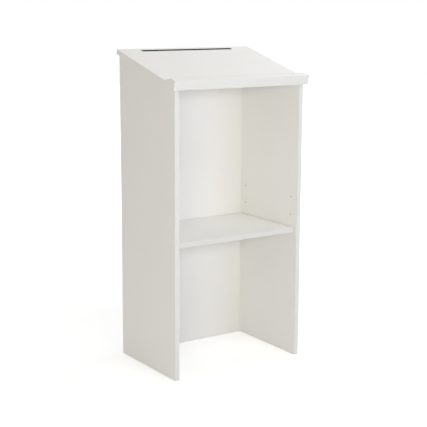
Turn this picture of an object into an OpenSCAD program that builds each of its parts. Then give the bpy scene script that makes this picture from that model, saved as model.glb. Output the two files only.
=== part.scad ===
// Stand-up lectern in laminated furniture board, knock-down construction.
// Origin: on the floor, under the middle of the whole lectern. +X is the presenter's right,
// +Y points to the audience, +Z is up. The presenter's side (the near side) is open.

/* [Carcass] */
// Outside width across the two side panels
carcass_w = 556; // [500:1:640]
// Depth of a side panel
panel_depth = 380; // [330:1:430]
// Height of a side panel at the presenter's edge
near_h = 1038; // [980:1:1100]
// Thickness of every board
board_t = 18; // [16:1:22]
// Slope of the reading board, in degrees
slope = 15.4; // [12:0.1:18]

/* [Reading board] */
// Overhang past the sides and past the presenter's edge
overhang = 12; // [8:1:24]
// Length of the pencil groove
groove_l = 404; // [300:1:440]
// Width of the pencil groove
groove_w = 16; // [15:0.5:20]
// Depth of the pencil groove
groove_d = 8; // [7:0.5:9]
// Distance from the groove's middle to the far edge of the board
groove_setback = 23.5; // [20:0.5:40]
// Wall of the liner in the groove
tray_wall = 1.4; // [1:0.1:2]

/* [Book stop] */
// Width of the strip along the slope, from the front face
stop_w = 61; // [55:1:80]
// Thickness of the nosing strip on the front faces of the board and the book stop
nosing_t = 2; // [2:0.5:3]
// Angle of the book stop's inner ramp to the reading surface, in degrees
ramp = 29; // [25:1:35]
// Radius where the ramp meets the flat top
shoulder_r = 50; // [20:1:60]

/* [Shelf] */
// Height of the shelf's underside
shelf_z = 480; // [440:1:520]
// Distance from the shelf's front to the side panels' near edges
shelf_setback = 15; // [10:1:25]
// Clearance at each end and behind the shelf
shelf_gap = 1.5; // [0.5:0.1:2]
// Distance between pin rows, one above the other
pin_pitch = 68; // [60:1:76]
// Setback of the near and the far column of pin holes from the near edge
pin_columns = [37, 330]; // [35:1:335]

/* [Fittings] */
// Thickness of the glued edge strips
edging_t = 1; // [0.5:0.1:2]
// Distance from a cam's middle to the joint
cam_reach = 34; // [30:1:38]
// Heights of the cams between side and front panels
cam_heights = [130, 430, 990]; // [60:1:1010]
// Heights of the dowels between side and front panels
dowel_heights = [230, 880]; // [60:1:1010]
// Places of the cams along the slope, from the near edge
cam_places = [80, 290]; // [40:1:350]
// Places of the dowels along the slope, from the near edge
dowel_places = [130, 240]; // [40:1:350]
// Diameter of a glide
glide_d = 16; // [12:1:17]
// Height of a glide, which lifts the panels off the floor
glide_h = 1.5; // [1:0.1:4]

/* [Hidden] */
$fn = 64;
eps = 0.01;

// Running gap between a round fitting and its hole
fit_gap = 0.05;
// Gap between the tops of the panels and the underside of the reading board
joint_gap = 0.02;

inner_x = carcass_w / 2 - board_t;
outer_x = carcass_w / 2;
board_x = outer_x + overhang;
slope_l = panel_depth / cos(slope);
// Length of the reading board behind its nosing
side_l = slope_l + overhang - nosing_t;
// The near top corner of the book stop leans out this far past the side panels
lean_out = overhang * cos(slope) + 2 * board_t * sin(slope);
near_y = lean_out - (panel_depth + lean_out) / 2;
far_y = near_y + panel_depth;
front_y = far_y - board_t;
panel_bottom = glide_h;

cam_d = 15;
cam_pocket_depth = 13.5;
cam_body_h = 12.5;
bolt_hole_d = 8;
bolt_shank_d = 7;
cam_bore_d = 7.4;
thread_d = 5;
thread_l = 11;
dowel_d = 8;
dowel_l = 30;
dowel_in_face = 12;
screw_d = 4;
screw_l = 30;
screw_xs = [-240, -80, 80, 240];
screw_u = 2;
pin_d = 5;
pin_hole_depth = 10;
pin_rows = [0, 1, 2];
pin_z = shelf_z - 3;
nail_d = 1.9;
nail_l = 15;
nail_in_pad = 1;
glide_setback = 45;
front_glide_x = 150;

function top_z(y) = near_h - joint_gap + (y - near_y) * tan(slope);

// --- Frames and helpers ---

// Children are drawn in the reading board's frame: X across, Y up the slope from the
// side panels' near edge, Z out of the board, with Z = 0 on its underside.
module on_slope() {
    translate([0, near_y, near_h]) rotate([slope, 0, 0]) children();
}

// Children and their mirror image on the other side of the lectern
module both_sides() {
    children();
    mirror([1, 0, 0]) children();
}

// An outline in the Y-Z plane, extruded from x0 towards +X
module side_extrude(x0, thickness) {
    translate([x0, 0, 0]) rotate([90, 0, 90]) linear_extrude(thickness) children();
}

// Upright outline from y0 to y1, cut off along the slope at the top
module sloped_outline(y0, y1) {
    polygon([[y0, panel_bottom], [y1, panel_bottom], [y1, top_z(y1)], [y0, top_z(y0)]]);
}

// A round rod along +X from the given point
module rod_x(at, d, l) {
    translate(at) rotate([0, 90, 0]) cylinder(d = d, h = l);
}

// A slot outline with round ends, centred
module slot_outline(length, width) {
    square([length - width, width], center = true);
    for (side = [-1, 1]) translate([side * (length - width) / 2, 0]) circle(d = width);
}

// --- Side panels ---

module cam_places_on_side() {
    for (u = cam_places) translate([inner_x, u, -cam_reach]) rotate([0, 90, 0]) children();
}

module side_panel() {
    mid_x = inner_x + board_t / 2;
    difference() {
        side_extrude(inner_x, board_t) sloped_outline(near_y + edging_t, far_y - edging_t);
        for (z = cam_heights)
            rod_x([inner_x - eps, far_y - board_t / 2, z], thread_d + 2 * fit_gap, thread_l + 1);
        for (z = dowel_heights)
            rod_x([inner_x - eps, far_y - board_t / 2, z], dowel_d + 2 * fit_gap, dowel_in_face);
        for (setback = pin_columns, row = pin_rows)
            rod_x([inner_x - eps, near_y + setback, pin_z + row * pin_pitch],
                pin_d, pin_hole_depth + eps);
        on_slope() {
            cam_places_on_side()
                translate([0, 0, -eps]) cylinder(d = cam_d, h = cam_pocket_depth);
            for (u = cam_places)
                translate([mid_x, u, -cam_reach]) cylinder(d = bolt_hole_d, h = cam_reach + 1);
            for (u = dowel_places)
                translate([mid_x, u, dowel_in_face - dowel_l - 1])
                    cylinder(d = dowel_d + 2 * fit_gap, h = dowel_l);
        }
        for (y = [near_y + glide_setback, far_y - glide_setback])
            translate([mid_x, y, panel_bottom - eps])
                cylinder(d = nail_d + 2 * fit_gap, h = nail_l);
    }
}

module right_side_panel() {
    color("whitesmoke") side_panel();
}

module left_side_panel() {
    color("whitesmoke") mirror([1, 0, 0]) side_panel();
}

module panel_edging() {
    side_extrude(inner_x, board_t) sloped_outline(near_y, near_y + edging_t);
    side_extrude(inner_x, board_t) sloped_outline(far_y - edging_t, far_y);
}

module right_panel_edging() {
    color("white") panel_edging();
}

module left_panel_edging() {
    color("white") mirror([1, 0, 0]) panel_edging();
}

// --- Front panel ---

module front_panel() {
    color("whitesmoke") difference() {
        side_extrude(-inner_x, 2 * inner_x) sloped_outline(front_y, far_y);
        both_sides() {
            for (z = cam_heights) {
                translate([inner_x - cam_reach, front_y - eps, z]) rotate([-90, 0, 0])
                    cylinder(d = cam_d, h = cam_pocket_depth);
                rod_x([inner_x - cam_reach, far_y - board_t / 2, z], bolt_hole_d, cam_reach + 1);
            }
            for (z = dowel_heights)
                rod_x([inner_x + dowel_in_face - dowel_l - 1, far_y - board_t / 2, z],
                    dowel_d + 2 * fit_gap, dowel_l);
            translate([front_glide_x, far_y - board_t / 2, panel_bottom - eps])
                cylinder(d = nail_d + 2 * fit_gap, h = nail_l);
        }
    }
}

// --- Reading board ---

module reading_board() {
    mid_x = inner_x + board_t / 2;
    color("white") on_slope() difference() {
        translate([-board_x + edging_t, nosing_t - overhang, 0])
            cube([2 * (board_x - edging_t), side_l - edging_t, board_t]);
        translate([0, slope_l - groove_setback, board_t - groove_d])
            linear_extrude(groove_d + 1) slot_outline(groove_l, groove_w);
        both_sides() {
            for (u = cam_places)
                translate([mid_x, u, -eps]) cylinder(d = thread_d + 2 * fit_gap, h = thread_l + 1);
            for (u = dowel_places)
                translate([mid_x, u, -eps]) cylinder(d = dowel_d + 2 * fit_gap, h = dowel_in_face);
        }
        for (x = screw_xs) translate([x, screw_u, -eps]) {
            cylinder(d = screw_d + 0.5, h = board_t + 1);
            cylinder(d1 = 2 * screw_d + 1, d2 = screw_d + 0.4, h = screw_d / 2 + 0.3);
        }
    }
}

module reading_board_edging() {
    color("white") on_slope() {
        both_sides()
            translate([board_x - edging_t, nosing_t - overhang, 0]) cube([edging_t, side_l, board_t]);
        translate([-board_x + edging_t, slope_l - edging_t, 0])
            cube([2 * (board_x - edging_t), edging_t, board_t]);
    }
}

// The nosing's outer corners are rounded
module nosing_strip() {
    nosing_r = nosing_t - 0.2;
    color("white") on_slope() side_extrude(-board_x, 2 * board_x) translate([-overhang, 0])
        intersection() {
            square([nosing_t, 2 * board_t]);
            union() {
                translate([nosing_r, 0]) square([nosing_t - nosing_r, 2 * board_t]);
                translate([0, nosing_r]) square([nosing_t, 2 * (board_t - nosing_r)]);
                for (out = [nosing_r, 2 * board_t - nosing_r])
                    translate([nosing_r, out]) circle(nosing_r);
            }
        }
}

// --- Book stop: flat top, round shoulder, ramp down to a thin toe on the reading surface ---

toe_t = 0.8;
stop_back = stop_w - overhang;
// The corner that the shoulder's arc rounds off
corner_u = stop_back - (board_t - toe_t) / tan(ramp);
tangent_l = shoulder_r * tan(ramp / 2);
shoulder_steps = 12;

function shoulder_arc() = [for (i = [0 : shoulder_steps]) let (a = ramp * i / shoulder_steps)
    [corner_u - tangent_l + shoulder_r * sin(a), 2 * board_t - shoulder_r * (1 - cos(a))]];

module book_stop() {
    color("white") on_slope() difference() {
        side_extrude(-board_x, 2 * board_x) polygon(concat(
            [[nosing_t - overhang, board_t], [nosing_t - overhang, 2 * board_t]],
            shoulder_arc(),
            [[stop_back, board_t + toe_t], [stop_back, board_t]]));
        for (x = screw_xs) translate([x, screw_u, board_t - eps])
            cylinder(d = screw_d + 2 * fit_gap, h = screw_l - board_t + 1);
    }
}

// Countersunk screws from the underside of the reading board
module book_stop_screws() {
    head_h = screw_d / 2;
    color("silver") on_slope() for (x = screw_xs) translate([x, screw_u, 0.3]) difference() {
        union() {
            cylinder(d = screw_d, h = screw_l - screw_d);
            cylinder(d1 = 2 * screw_d, d2 = screw_d, h = head_h);
            translate([0, 0, screw_l - screw_d - eps]) cylinder(d1 = screw_d, d2 = 0.4, h = screw_d);
        }
        for (a = [0, 90]) rotate([0, 0, a]) cube([screw_d, 0.9, 2 * head_h - 1], center = true);
    }
}

// --- Liner of the pencil groove ---

module pen_tray() {
    color("black") on_slope() translate([0, slope_l - groove_setback, board_t - groove_d])
        difference() {
            linear_extrude(groove_d) slot_outline(groove_l - 2 * fit_gap, groove_w - 2 * fit_gap);
            translate([0, 0, tray_wall]) linear_extrude(groove_d)
                slot_outline(groove_l - 2 * tray_wall, groove_w - 2 * tray_wall);
        }
}

// --- Shelf ---

shelf_x = inner_x - shelf_gap;
shelf_near_y = near_y + shelf_setback;
shelf_far_y = front_y - shelf_gap;

module shelf() {
    color("whitesmoke") translate([-shelf_x, shelf_near_y + edging_t, shelf_z])
        cube([2 * shelf_x, shelf_far_y - shelf_near_y - edging_t, board_t]);
}

module shelf_edging() {
    color("white") translate([-shelf_x, shelf_near_y, shelf_z])
        cube([2 * shelf_x, edging_t, board_t]);
}

// An L-shaped pin: a peg in the side panel, a plate on its face and a ledge with a rib
module shelf_pin(setback) {
    plate_w = 12;
    plate_t = 1.2;
    ledge_l = 10;
    ledge_t = 1.6;
    rib_t = 2;
    drop = 8;
    peg_l = 8.5;
    color("silver") translate([inner_x, near_y + setback, 0]) {
        rod_x([-eps, 0, pin_z], pin_d - 2 * fit_gap, peg_l);
        translate([-plate_t, -plate_w / 2, shelf_z - drop]) cube([plate_t, plate_w, drop]);
        translate([-ledge_l, -plate_w / 2, shelf_z - ledge_t]) cube([ledge_l, plate_w, ledge_t]);
        translate([0, rib_t / 2, 0]) rotate([90, 0, 0]) linear_extrude(rib_t)
            polygon([[0, shelf_z], [-ledge_l + 1, shelf_z], [-ledge_l + 1, shelf_z - ledge_t],
                [-plate_t, shelf_z - drop], [0, shelf_z - drop]]);
    }
}

module shelf_pin_right_near() {
    shelf_pin(pin_columns[0]);
}

module shelf_pin_right_far() {
    shelf_pin(pin_columns[1]);
}

module shelf_pin_left_near() {
    mirror([1, 0, 0]) shelf_pin(pin_columns[0]);
}

module shelf_pin_left_far() {
    mirror([1, 0, 0]) shelf_pin(pin_columns[1]);
}

// --- Cam fittings. Local Z runs into the board from its face, the bolt arrives along +Y. ---

module cam_lock() {
    recess = (cam_pocket_depth - cam_body_h) / 2;
    translate([0, 0, recess]) difference() {
        cylinder(d = cam_d - 2 * fit_gap, h = cam_body_h);
        translate([0, -bolt_shank_d / 2 - 1, board_t / 2 - recess]) rotate([-90, 0, 0])
            cylinder(d = cam_bore_d, h = cam_d);
        translate([0, 0, -eps]) cylinder(d = 6.4, h = 3);
    }
}

// A bolt on Z: thread above 0, in the face that it is screwed into, shank and head below 0
module cam_bolt() {
    head_l = 5;
    neck_l = 3;
    shank_l = cam_reach - head_l - neck_l + bolt_shank_d / 2;
    rings = 5;
    ring_pitch = thread_l / rings;
    rotate_extrude() polygon(concat(
        [[0, -shank_l - neck_l - head_l], [bolt_shank_d / 2, -shank_l - neck_l - head_l],
            [bolt_shank_d / 2, -shank_l - neck_l], [2, -shank_l - neck_l], [2, -shank_l],
            [3, -shank_l], [3, 0], [1.9, 0]],
        [for (i = [0 : rings - 1], step = [0, 1])
            [step == 0 ? 1.9 : thread_d / 2, (i + 0.2 + 0.4 * step) * ring_pitch]],
        [[1, thread_l], [0, thread_l]]));
}

module cam_cover() {
    cap_t = 0.3;
    translate([0, 0, -cap_t]) cylinder(d = cam_d + 2, h = cap_t);
    translate([0, 0, -eps]) cylinder(d = 6, h = 3);
}

// Places a fitting at each cam between a side and the front panel
module at_panel_cams() {
    both_sides() for (z = cam_heights)
        translate([inner_x - cam_reach, front_y, z]) rotate([-90, 0, 0]) rotate([0, 0, -90])
            children();
}

// Places a fitting at each cam between a side panel and the reading board
module at_board_cams() {
    both_sides() on_slope() cam_places_on_side() rotate([0, 0, 90]) children();
}

module cam_locks() {
    color("silver") {
        at_panel_cams() cam_lock();
        at_board_cams() cam_lock();
    }
}

module cam_covers() {
    color("white") {
        at_panel_cams() cam_cover();
        at_board_cams() cam_cover();
    }
}

module cam_bolts() {
    mid_x = inner_x + board_t / 2;
    color("silver") both_sides() {
        for (z = cam_heights)
            translate([inner_x, far_y - board_t / 2, z]) rotate([0, 90, 0]) cam_bolt();
        on_slope() for (u = cam_places) translate([mid_x, u, 0]) cam_bolt();
    }
}

module wood_dowels() {
    mid_x = inner_x + board_t / 2;
    start = dowel_in_face - dowel_l - 0.5;
    color("burlywood") both_sides() {
        for (z = dowel_heights) rod_x([inner_x + start, far_y - board_t / 2, z], dowel_d, dowel_l);
        on_slope() for (u = dowel_places) translate([mid_x, u, start])
            cylinder(d = dowel_d, h = dowel_l);
    }
}

// --- Glides under the panels ---

module at_glides() {
    both_sides() {
        for (y = [near_y + glide_setback, far_y - glide_setback])
            translate([inner_x + board_t / 2, y, 0]) children();
        translate([front_glide_x, far_y - board_t / 2, 0]) children();
    }
}

module glide_pads() {
    color("gainsboro") at_glides() difference() {
        cylinder(d = glide_d, h = glide_h);
        translate([0, 0, glide_h - nail_in_pad]) cylinder(d = nail_d + 2 * fit_gap, h = glide_h);
    }
}

module glide_nails() {
    color("silver") at_glides() translate([0, 0, glide_h - nail_in_pad])
        cylinder(d = nail_d, h = nail_l);
}

left_side_panel();
right_side_panel();
front_panel();
reading_board();
book_stop();
nosing_strip();
pen_tray();
shelf();
left_panel_edging();
right_panel_edging();
reading_board_edging();
shelf_edging();
cam_locks();
cam_bolts();
cam_covers();
wood_dowels();
book_stop_screws();
shelf_pin_left_near();
shelf_pin_left_far();
shelf_pin_right_near();
shelf_pin_right_far();
glide_pads();
glide_nails();
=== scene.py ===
"""Looks of the stand-up lectern: materials, moulded details, lights and camera for the CAD frame."""
import math

import bmesh
import bpy
from mathutils import Matrix, Vector


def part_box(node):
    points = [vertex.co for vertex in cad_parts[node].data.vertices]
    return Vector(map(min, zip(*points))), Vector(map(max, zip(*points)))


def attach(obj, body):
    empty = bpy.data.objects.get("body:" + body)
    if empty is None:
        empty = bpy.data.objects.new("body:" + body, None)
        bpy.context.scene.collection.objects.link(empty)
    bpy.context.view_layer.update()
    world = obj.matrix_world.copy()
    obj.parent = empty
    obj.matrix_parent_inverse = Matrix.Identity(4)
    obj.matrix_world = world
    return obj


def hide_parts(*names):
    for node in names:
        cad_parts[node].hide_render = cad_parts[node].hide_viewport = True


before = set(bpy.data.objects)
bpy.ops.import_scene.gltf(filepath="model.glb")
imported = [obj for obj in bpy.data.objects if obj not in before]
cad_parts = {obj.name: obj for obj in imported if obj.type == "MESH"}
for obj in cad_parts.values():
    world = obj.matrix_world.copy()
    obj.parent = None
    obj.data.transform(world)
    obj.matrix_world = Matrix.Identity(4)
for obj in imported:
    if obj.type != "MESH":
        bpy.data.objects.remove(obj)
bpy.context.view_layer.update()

MM = 0.001
# Points nearer than this lie on the same edge, or are the same point
EDGE_TOUCH = 0.01 * MM
SAME_POINT = 0.0001 * MM

X_AXIS = Vector((1, 0, 0))
Y_AXIS = Vector((0, 1, 0))
Z_AXIS = Vector((0, 0, 1))


# --- Sizes read from the frame ---

def slope_of(node):
    """Angle of a side panel's sloped top edge, in radians."""
    points = [v.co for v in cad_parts[node].data.vertices]
    near_y = min(p.y for p in points)
    far_y = max(p.y for p in points)
    near_top = max(p.z for p in points if p.y < near_y + EDGE_TOUCH)
    far_top = max(p.z for p in points if p.y > far_y - EDGE_TOUCH)
    return math.atan2(far_top - near_top, far_y - near_y)


def middle_of(node, across):
    """Where the mid plane of a board lies along its thickness."""
    low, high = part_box(node)
    return ((low + high) / 2).dot(across)


def extent(node, direction):
    """Lowest and highest place of a CAD node along a direction."""
    reach = [v.co.dot(direction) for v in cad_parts[node].data.vertices]
    return min(reach), max(reach)


PANEL_LOW, PANEL_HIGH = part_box("right_side_panel")
EDGING_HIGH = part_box("right_panel_edging")[1]
BOARD_T = PANEL_HIGH.x - PANEL_LOW.x
SLOPE = slope_of("right_side_panel")
ALONG_SLOPE = Vector((0, math.cos(SLOPE), math.sin(SLOPE)))
OUT_OF_SLOPE = Vector((0, -math.sin(SLOPE), math.cos(SLOPE)))
# The far top corner of a side panel lies on the underside of the reading board
UNDERSIDE = Vector((0, EDGING_HIGH.y, EDGING_HIGH.z)).dot(OUT_OF_SLOPE)


# --- Node helpers ---

class Nodes:
    """Builds one material's node tree, with a short call for each node."""

    def __init__(self, name):
        self.material = bpy.data.materials.new(name)
        self.material.use_nodes = True
        self.tree = self.material.node_tree
        self.tree.nodes.clear()
        self.output = self.tree.nodes.new("ShaderNodeOutputMaterial")
        self.place = self.tree.nodes.new("ShaderNodeTexCoord").outputs["Object"]

    def feed(self, socket, value):
        if isinstance(value, bpy.types.NodeSocket):
            self.tree.links.new(value, socket)
        else:
            socket.default_value = value

    def math(self, operation, first, second=0.0, third=0.0):
        node = self.tree.nodes.new("ShaderNodeMath")
        node.operation = operation
        for socket, value in zip(node.inputs, (first, second, third)):
            self.feed(socket, value)
        return node.outputs[0]

    def vector(self, operation, first, second):
        node = self.tree.nodes.new("ShaderNodeVectorMath")
        node.operation = operation
        self.feed(node.inputs[0], first)
        self.feed(node.inputs[1], second)
        gives_number = operation in ("DOT_PRODUCT", "LENGTH")
        return node.outputs["Value" if gives_number else "Vector"]

    def ramp(self, value, start, end, low=0.0, high=1.0):
        """value taken from start..end to low..high with soft ends."""
        node = self.tree.nodes.new("ShaderNodeMapRange")
        node.interpolation_type = "SMOOTHSTEP"
        numbers = {"From Min": start, "From Max": end, "To Min": low, "To Max": high}
        for name, number in numbers.items():
            self.feed(node.inputs[name], number)
        self.feed(node.inputs["Value"], value)
        return node.outputs["Result"]

    def stretch(self, x, y, z):
        """The place on the piece, scaled along each axis."""
        return self.vector("MULTIPLY", self.place, (x, y, z))

    def noise(self, size, place=None, detail=3.0):
        """Noise with blotches of about this size, in metres."""
        node = self.tree.nodes.new("ShaderNodeTexNoise")
        self.feed(node.inputs["Vector"], place or self.place)
        self.feed(node.inputs["Scale"], 1.0 / size)
        self.feed(node.inputs["Detail"], detail)
        return node.outputs["Fac"]

    def cells(self, size, place=None, feature="F1", output="Distance"):
        """Cells of about this size, in metres."""
        node = self.tree.nodes.new("ShaderNodeTexVoronoi")
        node.feature = feature
        self.feed(node.inputs["Vector"], place or self.place)
        self.feed(node.inputs["Scale"], 1.0 / size)
        return node.outputs[output]

    def mix(self, share, first, second):
        node = self.tree.nodes.new("ShaderNodeMix")
        node.data_type = "RGBA"
        self.feed(node.inputs["Factor"], share)
        self.feed(node.inputs["A"], first)
        self.feed(node.inputs["B"], second)
        return node.outputs["Result"]

    def bump(self, height, depth, under=None):
        """Bump of a height from 0 to 1, with its depth in metres."""
        node = self.tree.nodes.new("ShaderNodeBump")
        self.feed(node.inputs["Height"], height)
        self.feed(node.inputs["Distance"], depth)
        if under:
            self.feed(node.inputs["Normal"], under)
        return node.outputs["Normal"]

    def shader(self, color, roughness, normal, metallic=0.0, specular=0.5):
        node = self.tree.nodes.new("ShaderNodeBsdfPrincipled")
        values = {
            "Base Color": color, "Roughness": roughness, "Normal": normal,
            "Metallic": metallic, "Specular IOR Level": specular,
        }
        for name, value in values.items():
            self.feed(node.inputs[name], value)
        return node.outputs["BSDF"]

    def finish(self, shader):
        self.tree.links.new(shader, self.output.inputs["Surface"])
        return self.material


def rgba(red, green, blue):
    return (red, green, blue, 1.0)


# --- Materials ---

LAMINATE_WHITE = rgba(0.932, 0.926, 0.914)
LAMINATE_SHADE = rgba(0.918, 0.911, 0.897)
EDGING_WHITE = rgba(0.925, 0.918, 0.905)
# The next three edge strip tints are darker than the laminate as painted shade, for the shading on the
# near edges and the shelf's front edge
EDGING_PAINTED_SHADE = rgba(0.750, 0.757, 0.746)
NOSING_PAINTED_SHADE = rgba(0.776, 0.782, 0.771)
SHELF_EDGE_PAINTED_SHADE = rgba(0.710, 0.717, 0.700)
CHIP_PALE = rgba(0.58, 0.44, 0.28)
CHIP_DARK = rgba(0.30, 0.19, 0.10)
BEECH_PALE = rgba(0.62, 0.42, 0.25)
BEECH_RED = rgba(0.47, 0.29, 0.16)
BEECH_FLECK = rgba(0.24, 0.12, 0.06)
ZINC_BRIGHT = rgba(0.66, 0.67, 0.69)
ZINC_DULL = rgba(0.50, 0.51, 0.53)
NICKEL_BRIGHT = rgba(0.76, 0.74, 0.70)
NICKEL_DULL = rgba(0.66, 0.64, 0.60)
LINER_BLACK = rgba(0.012, 0.012, 0.013)
LINER_DUST = rgba(0.05, 0.05, 0.048)
GLIDE_GREY = rgba(0.52, 0.52, 0.51)
GLIDE_SHADE = rgba(0.44, 0.44, 0.43)
FLOOR_PALE = rgba(0.88, 0.88, 0.88)
FLOOR_SHADE = rgba(0.865, 0.865, 0.865)

LAMINATE_SKIN = 0.35 * MM
# Tint of an edge strip's cloudy parts, as a share of its own tint
STRIP_SHADE = 0.978
# How many times flatter chips are across the board than along it
CHIP_FLATNESS = 3.2
# Scale of the place along a scraper line and along the grain of wood: less draws a pattern out longer
SCRAPER_DRAW = 0.015
WOOD_DRAW = 0.12


def laminate_surface(n):
    """Colour, roughness and normal of white melamine laminate: a pearl grain over faint waviness."""
    cloudy = n.noise(90 * MM, detail=2.0)
    speckle = n.noise(1.6 * MM, detail=2.0)
    share = n.math("MULTIPLY_ADD", cloudy, 0.7, n.math("MULTIPLY", speckle, 0.3))
    color = n.mix(share, LAMINATE_WHITE, LAMINATE_SHADE)
    pearl = n.cells(1.1 * MM, feature="SMOOTH_F1")
    grain = n.noise(0.45 * MM, detail=2.0)
    waves = n.noise(14 * MM, detail=2.0)
    normal = n.bump(waves, 0.020 * MM)
    normal = n.bump(pearl, 0.042 * MM, normal)
    normal = n.bump(grain, 0.008 * MM, normal)
    rubbed = n.noise(35 * MM, detail=4.0)
    roughness = n.ramp(rubbed, 0.3, 0.75, 0.42, 0.52)
    return color, roughness, normal


def chipboard_surface(n, across):
    """Colour and normal of a cut face of particle board, with its chips lying along the board."""
    flat = n.stretch(*[1.0 + (CHIP_FLATNESS - 1.0) * abs(c) for c in across])
    chips = n.cells(3.2 * MM, flat, output="Color")
    fibres = n.noise(0.9 * MM, flat, detail=4.0)
    share = n.math("MULTIPLY_ADD", chips, 0.65, n.math("MULTIPLY", fibres, 0.35))
    color = n.mix(n.ramp(share, 0.2, 0.85), CHIP_DARK, CHIP_PALE)
    gaps = n.cells(3.2 * MM, flat)
    normal = n.bump(n.math("ADD", gaps, fibres), 0.25 * MM)
    return color, normal


def laminated_board(name, across, middle):
    """Material of a board whose thickness lies along across, with its mid plane at middle."""
    n = Nodes(name)
    white, white_rough, white_normal = laminate_surface(n)
    chip, chip_normal = chipboard_surface(n, across)
    depth = n.math("SUBTRACT", n.vector("DOT_PRODUCT", n.place, tuple(across)), middle)
    skin = n.math("GREATER_THAN", n.math("ABSOLUTE", depth), BOARD_T / 2 - LAMINATE_SKIN)
    mix = n.tree.nodes.new("ShaderNodeMixShader")
    n.feed(mix.inputs["Fac"], skin)
    n.feed(mix.inputs[1], n.shader(chip, 0.9, chip_normal, specular=0.15))
    n.feed(mix.inputs[2], n.shader(white, white_rough, white_normal))
    return n.finish(mix.outputs["Shader"])


def wrapped_laminate(name):
    """Material of a profile that is laminated all round."""
    n = Nodes(name)
    return n.finish(n.shader(*laminate_surface(n)))


def edge_strip(name, run, tint):
    """ABS edge strip: smoother than the laminate, with scraper lines along its run."""
    n = Nodes(name)
    dark_tint = rgba(*[STRIP_SHADE * c for c in tint[:3]])
    color = n.mix(n.noise(60 * MM, detail=2.0), tint, dark_tint)
    drawn_out = n.stretch(*[1.0 - (1.0 - SCRAPER_DRAW) * abs(c) for c in run])
    lines = n.noise(0.8 * MM, drawn_out, detail=3.0)
    grain = n.noise(0.5 * MM, detail=2.0)
    normal = n.bump(grain, 0.006 * MM, n.bump(lines, 0.015 * MM))
    roughness = n.ramp(n.noise(20 * MM, detail=3.0), 0.3, 0.7, 0.36, 0.44)
    return n.finish(n.shader(color, roughness, normal))


def groove_plastic():
    """Black moulded liner with a fine spark-eroded grain and a little dust in its bottom."""
    n = Nodes("groove_plastic")
    grain = n.cells(0.55 * MM, feature="SMOOTH_F1")
    fine = n.noise(0.25 * MM, detail=3.0)
    dust = n.ramp(n.noise(18 * MM, detail=5.0), 0.5, 0.8, 0.0, 0.25)
    color = n.mix(dust, LINER_BLACK, LINER_DUST)
    normal = n.bump(fine, 0.010 * MM, n.bump(grain, 0.030 * MM))
    roughness = n.ramp(n.noise(8 * MM), 0.3, 0.7, 0.48, 0.62)
    return n.finish(n.shader(color, roughness, normal))


def plated_metal(name, bright, dull, rough_low, rough_high):
    """Plated steel or zinc: blotchy brightness and fine scratches in two directions."""
    n = Nodes(name)
    blotches = n.noise(3 * MM, detail=4.0)
    color = n.mix(n.ramp(blotches, 0.3, 0.7), bright, dull)
    scratch_a = n.noise(0.35 * MM, n.stretch(1.0, 0.06, 1.0), detail=2.0)
    scratch_b = n.noise(0.35 * MM, n.stretch(1.0, 1.0, 0.06), detail=2.0)
    normal = n.bump(n.math("MAXIMUM", scratch_a, scratch_b), 0.008 * MM)
    roughness = n.ramp(n.math("ADD", blotches, scratch_a), 0.7, 1.3, rough_low, rough_high)
    return n.finish(n.shader(color, roughness, normal, metallic=1.0))


def moulded_plastic(name, pale, shade, rough):
    """Plain moulded plastic with a faint grain and flow marks."""
    n = Nodes(name)
    flow = n.noise(9 * MM, n.stretch(1.0, 0.5, 0.5), detail=3.0)
    color = n.mix(flow, pale, shade)
    normal = n.bump(n.noise(0.4 * MM, detail=3.0), 0.012 * MM)
    roughness = n.ramp(flow, 0.3, 0.7, rough - 0.05, rough + 0.05)
    return n.finish(n.shader(color, roughness, normal))


def beech_wood():
    """Beech: pale, with short dark flecks along the grain."""
    n = Nodes("beech_wood")
    along = n.stretch(WOOD_DRAW, 1.0, 1.0)
    figure = n.noise(1.8 * MM, along, detail=4.0)
    flecks = n.ramp(n.noise(0.5 * MM, along, detail=1.0), 0.62, 0.72)
    color = n.mix(figure, BEECH_PALE, BEECH_RED)
    color = n.mix(flecks, color, BEECH_FLECK)
    normal = n.bump(figure, 0.05 * MM)
    roughness = n.ramp(figure, 0.3, 0.7, 0.55, 0.7)
    return n.finish(n.shader(color, roughness, normal, specular=0.3))


# The floor's glow grows from the first strength to the second between these distances, in metres
GLOW_STRENGTH = (0.35, 1.0)
GLOW_REACH = (0.6, 2.6)


def studio_floor():
    """Plain pale floor. It shows a little brighter than it lights the lectern, as a lit sweep does."""
    n = Nodes("studio_floor")
    color = n.mix(n.noise(0.6, detail=2.0), FLOOR_PALE, FLOOR_SHADE)
    normal = n.bump(n.noise(2 * MM, detail=2.0), 0.02 * MM)
    glow = n.tree.nodes.new("ShaderNodeEmission")
    seen = n.tree.nodes.new("ShaderNodeLightPath").outputs["Is Camera Ray"]
    away = n.vector("LENGTH", n.place, (0, 0, 0))
    strength = n.ramp(away, *GLOW_REACH, *GLOW_STRENGTH)
    n.feed(glow.inputs["Strength"], n.math("MULTIPLY", seen, strength))
    both = n.tree.nodes.new("ShaderNodeAddShader")
    n.feed(both.inputs[0], n.shader(color, 0.85, normal, specular=0.1))
    n.feed(both.inputs[1], glow.outputs["Emission"])
    return n.finish(both.outputs["Shader"])


def dress(node, material):
    """Gives a CAD node its material."""
    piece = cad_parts[node]
    piece.data.materials.clear()
    piece.data.materials.append(material)


# The run and the tint of each edge strip; the side panel, shelf and nosing tints are darkened as painted
# shade
EDGING = {
    "left_panel_edging": (Z_AXIS, EDGING_PAINTED_SHADE),
    "right_panel_edging": (Z_AXIS, EDGING_PAINTED_SHADE),
    "shelf_edging": (X_AXIS, SHELF_EDGE_PAINTED_SHADE),
    "nosing_strip": (X_AXIS, NOSING_PAINTED_SHADE),
    "reading_board_edging": (ALONG_SLOPE, EDGING_WHITE),
}
SHELF_PINS = [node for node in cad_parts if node.startswith("shelf_pin")]


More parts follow.
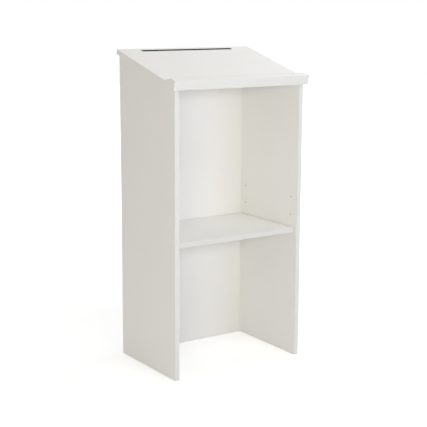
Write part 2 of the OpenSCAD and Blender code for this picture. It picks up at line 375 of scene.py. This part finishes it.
def dress_cad_nodes():
    for node in ("left_side_panel", "right_side_panel"):
        dress(node, laminated_board(node + "_board", X_AXIS, middle_of(node, X_AXIS)))
    for node, across in (("front_panel", Y_AXIS), ("shelf", Z_AXIS)):
        dress(node, laminated_board(node + "_board", across, middle_of(node, across)))
    board_middle = UNDERSIDE + BOARD_T / 2
    dress("reading_board", laminated_board("reading_board_board", OUT_OF_SLOPE, board_middle))
    dress("book_stop", wrapped_laminate("book_stop_laminate"))
    for node, (run, tint) in EDGING.items():
        dress(node, edge_strip(node + "_abs", run, tint))
    zinc = plated_metal("zinc", ZINC_BRIGHT, ZINC_DULL, 0.28, 0.45)
    nickel = plated_metal("nickel", NICKEL_BRIGHT, NICKEL_DULL, 0.14, 0.28)
    for node in ("cam_locks", "cam_bolts", "book_stop_screws", "glide_nails"):
        dress(node, zinc)
    for node in SHELF_PINS:
        dress(node, nickel)
    dress("cam_covers", moulded_plastic("cap_plastic", LAMINATE_WHITE, LAMINATE_SHADE, 0.47))
    dress("glide_pads", moulded_plastic("glide_plastic", GLIDE_GREY, GLIDE_SHADE, 0.55))


# --- Edges ---

# Turns in a surface that are sharper than this are edges to round
SHARP_TURN = math.radians(35)


def round_edges(node, radius):
    """Rounds the sharp edges of a CAD node with a modifier."""
    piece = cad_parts[node]
    for face in piece.data.polygons:
        face.use_smooth = True
    bevel = piece.modifiers.new("rounded_edges", "BEVEL")
    bevel.width = radius
    bevel.segments = 3
    bevel.limit_method = "ANGLE"
    bevel.angle_limit = SHARP_TURN
    bevel.harden_normals = True
    bevel.miter_outer = "MITER_ARC"


# Radius of the edges of each piece, in millimetres
ARRIS = {
    "left_side_panel": 0.25, "right_side_panel": 0.25, "front_panel": 0.25, "reading_board": 0.25,
    "shelf": 0.25, "book_stop": 0.3, "nosing_strip": 0.15,
    "left_panel_edging": 0.4, "right_panel_edging": 0.4, "reading_board_edging": 0.4, "shelf_edging": 0.4,
    "cam_covers": 0.1, "glide_pads": 0.5,
}
PIN_ARRIS = 0.3


def round_all_edges():
    for node, radius in ARRIS.items():
        round_edges(node, radius * MM)
    for node in SHELF_PINS:
        round_edges(node, PIN_ARRIS * MM)


# --- Moulded liner of the pencil groove ---

LINER_WALL = 1.2 * MM
LINER_RIM_R = 0.4 * MM
LINER_FOOT_R = 0.8 * MM
LINER_TROUGH_R = 3.0 * MM
# Steps in each half-round end of the groove
END_STEPS = 24


def on_slope(x, along, out):
    """A point from its place across, up the slope and out of the slope."""
    return X_AXIS * x + ALONG_SLOPE * along + OUT_OF_SLOPE * out


def slot_ring(half_straight, radius, steps):
    """Points round a slot with round ends, as (across, along) pairs."""
    ring = []
    for side in (1, -1):
        for step in range(steps + 1):
            turn = math.radians(-90 + 180 * step / steps)
            across = half_straight + radius * math.cos(turn)
            ring.append((side * across, side * radius * math.sin(turn)))
    return ring


def new_piece(name, mesh_code, material, body, smooth=True):
    """A mesh piece that rides on a body, made by mesh_code(bmesh)."""
    form = bmesh.new()
    mesh_code(form)
    bmesh.ops.recalc_face_normals(form, faces=form.faces)
    mesh = bpy.data.meshes.new(name)
    form.to_mesh(mesh)
    form.free()
    mesh.materials.append(material)
    for face in mesh.polygons:
        face.use_smooth = smooth
    piece = bpy.data.objects.new(name, mesh)
    bpy.context.scene.collection.objects.link(piece)
    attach(piece, body)
    return piece


def arc_profile(center, radius, start, end, steps):
    """Points of an arc in a cross-section, with angles in degrees."""
    points = []
    for step in range(steps + 1):
        turn = math.radians(start + (end - start) * step / steps)
        points.append((center[0] + radius * math.cos(turn), center[1] + radius * math.sin(turn)))
    return points


def loft(form, rings):
    """Skins a stack of closed rings of points, and closes its two ends."""
    for lower, upper in zip(rings, rings[1:]):
        for index in range(len(lower)):
            after = (index + 1) % len(lower)
            form.faces.new((lower[index], lower[after], upper[after], upper[index]))
    form.faces.new(rings[0])
    form.faces.new(rings[-1])


def groove_liner_mesh(form):
    """Loft of slot outlines: outside wall, rounded rim, inside wall and a rounded trough."""
    low_x, high_x = extent("pen_tray", X_AXIS)
    low_u, high_u = extent("pen_tray", ALONG_SLOPE)
    low_v, high_v = extent("pen_tray", OUT_OF_SLOPE)
    outer = (high_u - low_u) / 2
    half_straight = (high_x - low_x) / 2 - outer
    middle_u = (low_u + high_u) / 2
    inner = outer - LINER_WALL
    floor_v = low_v + LINER_WALL
    foot, rim, trough = LINER_FOOT_R, LINER_RIM_R, LINER_TROUGH_R
    # Cross-section from the outside bottom edge to the trough's flat, as (radius, height)
    section = arc_profile((outer - foot, low_v + foot), foot, -90, 0, 4)
    section += arc_profile((outer - rim, high_v - rim), rim, 0, 90, 4)
    section += arc_profile((inner + rim, high_v - rim), rim, 90, 180, 4)
    section += arc_profile((inner - trough, floor_v + trough), trough, 0, -90, 8)
    rings = []
    for radius, height in section:
        ring = slot_ring(half_straight, radius, END_STEPS)
        rings.append([form.verts.new(on_slope(x, middle_u + u, height)) for x, u in ring])
    loft(form, rings)


def make_groove_liner():
    liner = new_piece("groove_liner", groove_liner_mesh, groove_plastic(), "carcass")
    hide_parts("pen_tray")


# --- Fluted dowels ---

DOWEL_FLUTES = 24
STEPS_PER_FLUTE = 5
FLUTE_DEPTH = 0.22 * MM
DOWEL_CHAMFER = 1.2 * MM


def islands(node):
    """The separate solids of a CAD node, each as a list of its points."""
    form = bmesh.new()
    form.from_mesh(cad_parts[node].data)
    bmesh.ops.remove_doubles(form, verts=form.verts, dist=SAME_POINT)
    left = set(form.verts)
    found = []
    while left:
        start = min(left, key=lambda v: v.index)
        left.discard(start)
        queue = [start]
        solid = [start.co.copy()]
        while queue:
            for edge in queue.pop().link_edges:
                for vert in edge.verts:
                    if vert in left:
                        left.discard(vert)
                        queue.append(vert)
                        solid.append(vert.co.copy())
        found.append(solid)
    form.free()
    return found


def dowel_mesh(form, solid, direction):
    """One dowel with pressed flutes and chamfered ends, in place of a plain CAD rod."""
    reach = [p.dot(direction) for p in solid]
    length = max(reach) - min(reach)
    center = sum(solid, Vector()) / len(solid)
    foot = center - direction * (center.dot(direction) - min(reach))
    side = direction.orthogonal().normalized()
    radius = max((p - foot - direction * (p - foot).dot(direction)).length for p in solid)
    tip_radius = radius - DOWEL_CHAMFER
    outline = (
        (0, tip_radius), (DOWEL_CHAMFER, radius), (length - DOWEL_CHAMFER, radius), (length, tip_radius),
    )
    steps = DOWEL_FLUTES * STEPS_PER_FLUTE
    rings = []
    for height, ring_radius in outline:
        ring = []
        for step in range(steps):
            turn = 2 * math.pi * step / steps
            dip = FLUTE_DEPTH * max(0.0, math.cos(DOWEL_FLUTES * turn)) ** 2
            turned = Matrix.Rotation(turn, 3, direction) @ side
            ring.append(form.verts.new(foot + direction * height + turned * (ring_radius - dip)))
        rings.append(ring)
    loft(form, rings)


def make_dowels():
    def mesh_code(form):
        for solid in islands("wood_dowels"):
            spread = Vector([max(p[i] for p in solid) - min(p[i] for p in solid) for i in range(3)])
            direction = X_AXIS if spread.x > spread.z else OUT_OF_SLOPE
            dowel_mesh(form, solid, direction)
    dowels = new_piece("fluted_dowels", mesh_code, beech_wood(), "carcass", smooth=False)
    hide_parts("wood_dowels")


# --- Stage ---

# Strength of the white surroundings as a light
AMBIENT = 0.45
FLOOR_REACH = 12.0


def make_floor():
    form = bmesh.new()
    bmesh.ops.create_grid(form, x_segments=8, y_segments=8, size=FLOOR_REACH)
    mesh = bpy.data.meshes.new("floor")
    form.to_mesh(mesh)
    form.free()
    mesh.materials.append(studio_floor())
    floor = bpy.data.objects.new("floor", mesh)
    bpy.context.scene.collection.objects.link(floor)


def make_world():
    """White surroundings: dim as a light, and full white where the camera sees past the floor."""
    world = bpy.data.worlds.new("studio")
    world.use_nodes = True
    tree = world.node_tree
    background = tree.nodes["Background"]
    background.inputs["Color"].default_value = rgba(1.0, 1.0, 1.0)
    seen = tree.nodes.new("ShaderNodeLightPath").outputs["Is Camera Ray"]
    strength = tree.nodes.new("ShaderNodeMapRange")
    strength.inputs["To Min"].default_value = AMBIENT
    strength.inputs["To Max"].default_value = 1.0
    tree.links.new(seen, strength.inputs["Value"])
    tree.links.new(strength.outputs["Result"], background.inputs["Strength"])
    bpy.context.scene.world = world


def softbox(name, place, target, width, height, power, color):
    """Area light at a place, turned to a target, with its size in metres and its power in watts."""
    light = bpy.data.lights.new(name, "AREA")
    light.shape = "RECTANGLE"
    light.size = width
    light.size_y = height
    light.energy = power
    light.color = color
    lamp = bpy.data.objects.new(name, light)
    lamp.location = place
    lamp.rotation_mode = "QUATERNION"
    lamp.rotation_quaternion = (Vector(target) - Vector(place)).to_track_quat("-Z", "Y")
    bpy.context.scene.collection.objects.link(lamp)


NEUTRAL = (1.0, 1.0, 1.0)
COOL = (0.97, 1.0, 1.27)
WARM = (1.06, 1.0, 0.69)
SOFT_WARM = (1.0, 1.0, 0.92)
# Targets of the lights: the middle of the lectern and the reading board
MIDDLE = (0, 0, 0.6)
BOARD_PLACE = (0, 0, 1.1)


def make_lights():
    """Soft boxes: cool from the front, warm from the camera's side, and fills above, behind and right."""
    softbox("front_box", (0.4, -3.2, 1.4), MIDDLE, 2.4, 0.6, 20.3, COOL)
    softbox("camera_box", (-2.8, -3.8, 1.45), MIDDLE, 1.8, 0.6, 46, WARM)
    softbox("high_box", (0.0, -2.4, 4.0), MIDDLE, 2.4, 1.6, 32, SOFT_WARM)
    softbox("high_right_box", (1.3, 0.1, 2.3), BOARD_PLACE, 0.9, 0.9, 8, NEUTRAL)
    softbox("back_box", (0.8, 4.4, 1.5), MIDDLE, 3.0, 2.4, 44, NEUTRAL)
    softbox("right_box", (4.4, 0.6, 1.4), MIDDLE, 2.4, 2.0, 22, NEUTRAL)


# The camera stands to the left of the presenter, a little above the reading board
VIEW_AZIMUTH = math.radians(-34.01)
VIEW_ELEVATION = math.radians(11.17)
VIEW_ROLL = math.radians(0.26)
VIEW_DISTANCE = 4.01
VIEW_LENS = 90.08
LOOK_AT = Vector((0.0027, -0.0027, 0.552))


def make_camera():
    level = Vector((math.cos(VIEW_AZIMUTH), math.sin(VIEW_AZIMUTH), 0))
    outward = Vector((math.sin(VIEW_AZIMUTH), -math.cos(VIEW_AZIMUTH), 0))
    back = outward * math.cos(VIEW_ELEVATION) + Z_AXIS * math.sin(VIEW_ELEVATION)
    upright = back.cross(level)
    right = level * math.cos(VIEW_ROLL) + upright * math.sin(VIEW_ROLL)
    up = upright * math.cos(VIEW_ROLL) - level * math.sin(VIEW_ROLL)
    data = bpy.data.cameras.new("camera")
    data.lens = VIEW_LENS
    data.sensor_width = 36.0
    data.dof.use_dof = False
    camera = bpy.data.objects.new("camera", data)
    turned = Matrix((right, up, back)).transposed().to_4x4()
    camera.matrix_world = Matrix.Translation(LOOK_AT + back * VIEW_DISTANCE) @ turned
    bpy.context.scene.collection.objects.link(camera)
    bpy.context.scene.camera = camera


dress_cad_nodes()
round_all_edges()
make_groove_liner()
make_dowels()
make_floor()
make_world()
make_lights()
make_camera()
bpy.context.scene.view_settings.view_transform = "Standard"
